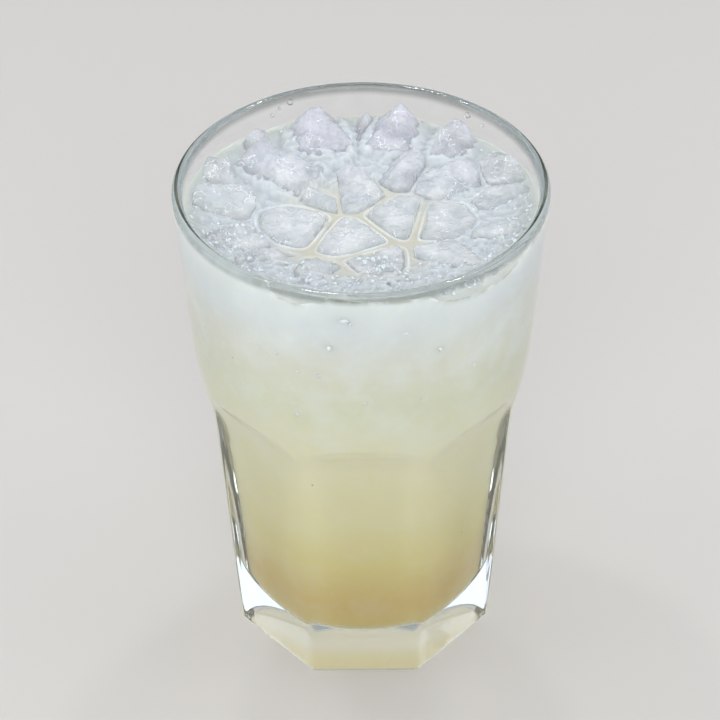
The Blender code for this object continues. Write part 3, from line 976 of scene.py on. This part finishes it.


# %% [markdown]
# Lemonade is water made cloudy by juice and pith, so light enters it and comes back
# out nearby: a soft, milky look without dark shading. Fine ice whitens it towards the
# top, and it is yellowest at the bottom, so the colour follows the height. The same
# colours also hold painted shade, darker downwards as the light from above fades, and
# a painted light at the underside. A mottle shows where ice lies just behind the glass,
# and a sheen pales it towards the sides.
# Against the wall the light comes from glass into a thinner medium, and past a
# critical angle it is thrown back whole: the clear band along both sides of a thick
# glass. A Fresnel with the two media's ratio as its IOR, below 1, gives that band.
# The top meets air and needs no such mix. The underside glows a little, for the light
# that the clear base brings in from below, which shadow rays alone leave out.

# %% Drink material
# Colour by height: the drink's own yellow and the ice's white, with painted shade that deepens
# downwards, and a painted light on the underside at the first stop
DRINK_COLOURS_AND_SHADE = (
    (0.0, "#f3dfa6"),
    (0.015, "#c2ad66"),
    (0.09, "#c3a862"),
    (0.22, "#d0c17f"),
    (0.345, "#d7ce9d"),
    (0.47, "#dbd4ac"),
    (0.59, "#dfdab9"),
    (0.72, "#d4d4bc"),
    (0.825, "#d6d4c6"),
    (0.92, "#d6d9d8"),
)
PALE_PATCH = "#dfe3e0"
# Coarse and fine mottle: noise scale and detail, the noise that shows, its most
MOTTLES = ((75.0, 4.0, 0.48, 0.72, 1.0), (330.0, 5.0, 0.5, 0.75, 0.45))
MOTTLE_HEIGHTS = (70.0, 115.0)
MOTTLE_SHARES = (0.12, 0.75)
GLOW = 0.45
GLOW_HEIGHTS = (11.2, 12.5)
GLOW_REACH = (-16.0, 5.0)
GLOW_COLOURS = ((0.0, "#c9bb85"), (0.6, "#dcd2ac"), (1.0, "#f3f1ee"))
TOP_COLOUR = "#cfcbbb"
ICY_COLOUR = "#c9cecf"
# The bead's paler colour is a painted highlight on the wet rim, whose raised shape also catches real
# ones
BEAD_HIGHLIGHT_COLOUR = "#dee4e6"
# Painted shade along the contact line, for the shaded underside of the ice seen through the wall
CONTACT_SHADE_ON_TOP_COLOUR = "#b6b8b0"
CONTACT_SHADE_ON_SIDE_COLOUR = "#84857a"
DRINK_TO_GLASS = 0.895
BAND_STRENGTH = 0.8
BAND_FADES = (84.0, 97.0)


def make_drink_material(name, against_glass):
    """Cloudy lemonade: the side that meets the glass, or the top that meets air."""
    material = new_material(name)
    place, _, y, z = object_place(material)
    contact_shade = stored(material, "contact_shade")
    if against_glass:
        height = rescaled(material, z, FLOOR_THICKNESS * MM, 134.0 * MM)
        colour = ramp(material, height, DRINK_COLOURS_AND_SHADE)
        higher = rescaled(material, z, *(v * MM for v in MOTTLE_HEIGHTS), *MOTTLE_SHARES)
        for scale, detail, low, high, most in MOTTLES:
            mottle = rescaled(material, noise(material, place, scale, detail), low, high, 0.0, most)
            share = combined(material, "MULTIPLY", mottle, higher)
            colour = blend(material, share, colour, linear(PALE_PATCH))
        # Painted shade just under the contact line, broken up by a noise
        broken = rescaled(material, noise(material, place, 400.0), 0.35, 0.6)
        share = combined(material, "MULTIPLY", contact_shade, broken)
        colour = blend(material, share, colour, linear(CONTACT_SHADE_ON_SIDE_COLOUR))
    else:
        colour = blend(material, stored(material, "icy"), linear(TOP_COLOUR), linear(ICY_COLOUR))
        colour = blend(material, stored(material, "bead"), colour, linear(BEAD_HIGHLIGHT_COLOUR))
        # Painted shade on the top near the wall
        colour = blend(material, contact_shade, colour, linear(CONTACT_SHADE_ON_TOP_COLOUR))
    glow = ramp(material, rescaled(material, y, *(v * MM for v in GLOW_REACH)), GLOW_COLOURS)
    glow_share = rescaled(material, z, *(v * MM for v in GLOW_HEIGHTS), GLOW, 0.0)
    ripple = noise(material, place, 450.0, 4.0)
    shader = add_node(
        material,
        "ShaderNodeBsdfPrincipled",
        {
            "Base Color": colour,
            "Emission Color": glow,
            "Emission Strength": glow_share,
            "Roughness": 0.1,
            "IOR": 1.34,
            "Specular IOR Level": 0.0 if against_glass else 0.5,
            "Subsurface Weight": 1.0,
            "Subsurface Radius": (1.0, 1.0, 0.8),
            "Subsurface Scale": 0.005,
            "Sheen Weight": 1.0 if against_glass else 0.0,
            "Sheen Roughness": 0.5,
            "Sheen Tint": linear("#e9eeee"),
            "Normal": bumped(material, ripple, 0.1 if against_glass else 0.6, 0.4),
        },
    )
    if against_glass:
        bend = add_node(material, "ShaderNodeFresnel", {"IOR": DRINK_TO_GLASS})
        band = rescaled(material, z, BAND_FADES[0] * MM, BAND_FADES[1] * MM, BAND_STRENGTH, 0.0)
        share = combined(material, "MULTIPLY", bend.outputs[0], band)
        inputs = {"Color": linear("#ffffff"), "Roughness": 0.0}
        mirror = add_node(material, "ShaderNodeBsdfAnisotropic", inputs)
        shader = mixed(material, share, shader, mirror)
    add_node(material, "ShaderNodeOutputMaterial", {"Surface": shader.outputs[0]})
    return material


# %% [markdown]
# Ice is clear where it froze slowly and white where it caught air. One noise, with
# patches of about 7 mm, sets both its colour and how clear it is. Thin white lines
# stand partly for cracks and partly for painted glints: they lie where a finer noise
# crosses its middle value, broken up by patches. Wet ice is very glossy, so small
# lamps make sharp glints on its bumps. The heap at the back, against the light, is
# tinted towards lavender, a painted reflection of the bluer light behind it. A fully
# clear ice would look dark over the drink, and a fully white one like chalk.

# %% Ice material
# Painted reflection: the heap at the back is tinted lavender for the bluer light behind it
BACK_REFLECTION_TINT = "#e8e6ef"
BACK_REFLECTION_FROM = (5.0, 30.0)
CLOUD_SCALE = 140.0
CLOUD_RANGE = (0.4, 0.62)
CLOUD_CLEARNESS = (0.12, -0.1)
# Thin white lines, partly cracks and partly painted glints
CRACK_GLINT_SCALE = 330.0
CRACK_GLINT_WIDTHS = (0.003, 0.013)
CRACK_GLINT_PATCH_SCALE = 150.0
CRACK_GLINT_PATCH_RANGE = (0.5, 0.6)
CRACK_GLINT_COLOUR = "#fafcfd"
BUMP_SCALE = 650.0


def make_ice_material(name, clearness, roughness, colours, lets_light_in):
    """Melting ice, partly clouded by trapped air, with thin white lines that are partly cracks and
    partly painted glints.

    lets_light_in is the share of a lamp's light that reaches what lies under the ice.
    """
    material = new_material(name)
    place, _, y, _ = object_place(material)
    depth = rescaled(material, y, *(v * MM for v in BACK_REFLECTION_FROM))
    cloud = noise(material, place, CLOUD_SCALE, 5.0)
    clearnesses = (clearness + change for change in CLOUD_CLEARNESS)
    clear_share = rescaled(material, cloud, *CLOUD_RANGE, *clearnesses)
    tinted = blend(material, depth, ramp(material, cloud, colours), linear(BACK_REFLECTION_TINT))
    crest = noise(material, place, CRACK_GLINT_SCALE, 3.0)
    apart = combined(material, "SUBTRACT", crest, 0.5)
    line = rescaled(material, combined(material, "ABSOLUTE", apart), *CRACK_GLINT_WIDTHS, 1.0, 0.0)
    patch = rescaled(material, noise(material, place, CRACK_GLINT_PATCH_SCALE), *CRACK_GLINT_PATCH_RANGE)
    crack_glint = combined(material, "MULTIPLY", line, patch)
    without_crack_glint = rescaled(material, crack_glint, 0.0, 1.0, 1.0, 0.0)
    ice = add_node(
        material,
        "ShaderNodeBsdfPrincipled",
        {
            "Base Color": blend(material, crack_glint, tinted, linear(CRACK_GLINT_COLOUR)),
            "Roughness": roughness,
            "IOR": 1.31,
            "Transmission Weight": combined(material, "MULTIPLY", clear_share, without_crack_glint),
            "Specular IOR Level": 0.9,
            "Subsurface Weight": 1.0,
            "Subsurface Radius": (1.0, 1.0, 1.0),
            "Subsurface Scale": 0.006,
            "Normal": bumped(material, noise(material, place, BUMP_SCALE, 4.0), 0.9, 0.8),
        },
    )
    lamp = add_node(material, "ShaderNodeLightPath").outputs["Is Shadow Ray"]
    share = combined(material, "MULTIPLY", lamp, lets_light_in)
    passing = add_node(material, "ShaderNodeBsdfTransparent")
    mix = mixed(material, share, ice, passing)
    add_node(material, "ShaderNodeOutputMaterial", {"Surface": mix.outputs[0]})
    return material


def make_plain_material(name, inputs):
    """One Principled shader with these inputs."""
    material = new_material(name)
    shader = add_node(material, "ShaderNodeBsdfPrincipled", inputs)
    add_node(material, "ShaderNodeOutputMaterial", {"Surface": shader.outputs[0]})
    return material


# %% Put the materials on
glass_material = make_glass_material()
drink_side = make_drink_material("cloudy lemonade behind glass", True)
drink_top = make_drink_material("cloudy lemonade in air", False)
# Whole lumps: half clear, so that light and shade soften inside them
ice_material = make_ice_material(
    "melting ice clouded with air", 0.46, 0.06, ((0.38, "#eaeef0"), (0.62, "#fafbfb")), 0.7
)
# Splinters: too small to see into, so a white with a sharp gloss, which glitters
crumb_material = make_plain_material(
    "splintered ice", {"Base Color": linear("#e4eaed"), "Roughness": 0.06, "IOR": 1.31}
)
# Crushed lumps: their many broken faces scatter light, so they look whiter
crushed_material = make_ice_material(
    "crushed ice", 0.3, 0.08, ((0.38, "#e7ebeb"), (0.62, "#fafbfb")), 0.6
)
# Flecks wetted by the drink: no gloss of their own behind the glass
fleck_material = make_plain_material(
    "ice behind glass",
    {"Base Color": linear("#dde2e0"), "Roughness": 0.5, "Specular IOR Level": 0.0},
)
# Drops and bubbles: clear, so only their bright and dark rims show
water_material = make_plain_material(
    "clear drops",
    {"Base Color": linear("#ffffff"), "Roughness": 0.0, "IOR": 1.34, "Transmission Weight": 1.0},
)
# Pulp in shade behind the glass: dull olive dots
pulp_material = make_plain_material("lemon pulp", {"Base Color": linear("#6f6a45"), "Roughness": 0.5})
glass.data.materials.append(glass_material)
drink.data.materials.append(drink_side)
drink.data.materials.append(drink_top)
for index, lump in enumerate(lumps):
    lump.data.materials.append(crushed_material if index in CRUSHED else ice_material)

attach(glass, "root")
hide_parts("glass")
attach(drink, "root")
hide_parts("lemonade")
for piece, material, slot in (
    (crumbs, crumb_material, "ice"),
    (flecks, fleck_material, "ice"),
    (specks, pulp_material, "lemonade"),
    (droplets, water_material, "lemonade"),
    (bubbles, water_material, "lemonade"),
):
    piece.data.materials.append(material)
    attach(piece, "root")
for index, lump in enumerate(lumps):
    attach(lump, "root")
    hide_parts(f"ice_{index + 1:02d}")
print(len(bpy.data.materials), "materials on", 7 + len(lumps), "pieces")

# %% [markdown]
# ## Floor and light
#
# A plain pale floor and soft boxes, as in a small studio. Clear glass shows only what
# stands around it, so the boxes are placed for the glass: the base's two front
# corners throw back what is high behind the glass at 45 degrees to each side, so a
# window of two panes hangs there on each side. Three small lamps behind make glints
# on the wet ice. A wide box in front and one at each side light the drink. The
# surroundings are darker near the horizon, which draws the edges of the glass.

# %% Floor and lights
# In metres, as are the places and sizes of the lights
FLOOR_HALF = 3.0
FLOOR_DROP = -0.0003
FLOOR_COLOUR = "#cfcac4"
AIM = (0.0, 0.0, 0.06)
ICE_AIM = (0.0, 0.0, 0.12)
WINDOW_OUT = 0.62
WINDOW_UP = 1.0
WINDOW_HEIGHT = 0.7
WINDOW_WATTS_PER_METRE = 2.9
# Name, distance along the window from its middle, width
PANES = (("narrow", -0.245, 0.27), ("wide", 0.135, 0.42))
# The cosine of 45 degrees, near enough
SLANT = 0.7
GLINT_PLACES = ((-0.1, 0.6, 1.1), (0.28, 0.52, 1.15), (-0.42, 0.35, 1.2))
GLINT_SIZE = (0.08, 0.08)
GLINT_WATTS = 1.1
# Name, place, width and height, watts, colour
BOXES = (
    ("box_front", (0.0, -1.1, 0.8), (1.5, 0.9), 11.3, "#fafcff"),
    ("box_left", (-0.95, -0.1, 0.45), (0.5, 0.8), 2.4, "#f2f7ff"),
    ("box_right", (0.95, -0.05, 0.45), (0.5, 0.8), 2.4, "#f2f7ff"),
)
SKY = ((0.0, "#a8acaf"), (0.25, "#b4b8bc"), (1.0, "#eceff2"))
SKY_STRENGTH = 0.64


def make_floor():
    """A flat square floor, a hair under the foot, so that the glass shows its underside."""
    corners = [(-1, -1), (1, -1), (1, 1), (-1, 1)]
    points = [(x * FLOOR_HALF, y * FLOOR_HALF, FLOOR_DROP) for x, y in corners]
    floor = add_mesh("floor", points, [(0, 1, 2, 3)])
    inputs = {"Base Color": linear(FLOOR_COLOUR), "Roughness": 0.6}
    floor.data.materials.append(make_plain_material("matt pale board", inputs))


def soft_box(name, place, target, size, watts, colour):
    """A rectangular area light at a place in metres, turned to face a target."""
    data = bpy.data.lights.new(name, "AREA")
    data.shape = "RECTANGLE"
    data.size, data.size_y = size
    data.energy = watts
    data.color = linear(colour)[:3]
    box = add_object(name, data)
    box.location = place
    aim = Vector(target) - Vector(place)
    box.rotation_euler = aim.to_track_quat("-Z", "Y").to_euler()


make_floor()
for side, name in ((-1, "left"), (1, "right")):
    for pane, across, wide in PANES:
        x, y = side * WINDOW_OUT + across * SLANT, WINDOW_OUT + side * across * -SLANT
        watts = WINDOW_WATTS_PER_METRE * wide
        size = (wide, WINDOW_HEIGHT)
        soft_box(f"window_{name}_{pane}", (x, y, WINDOW_UP), AIM, size, watts, "#dfeaff")
for place in GLINT_PLACES:
    soft_box(f"box_glints_{place[0]}", place, ICE_AIM, GLINT_SIZE, GLINT_WATTS, "#ffffff")
for name, place, size, watts, colour in BOXES:
    soft_box(name, place, AIM, size, watts, colour)

world = bpy.data.worlds.new("studio")
bpy.context.scene.world = world
world.use_nodes = True
world.node_tree.nodes.clear()
way = add_node(world, "ShaderNodeTexCoord")
rise = add_node(world, "ShaderNodeSeparateXYZ", {0: way.outputs["Generated"]})
sky = ramp(world, rise.outputs["Z"], SKY)
light = add_node(world, "ShaderNodeBackground", {"Color": sky, "Strength": SKY_STRENGTH})
add_node(world, "ShaderNodeOutputWorld", {"Surface": light.outputs[0]})
bpy.context.scene.view_settings.view_transform = "Standard"
print("lights:", len(bpy.data.lights))
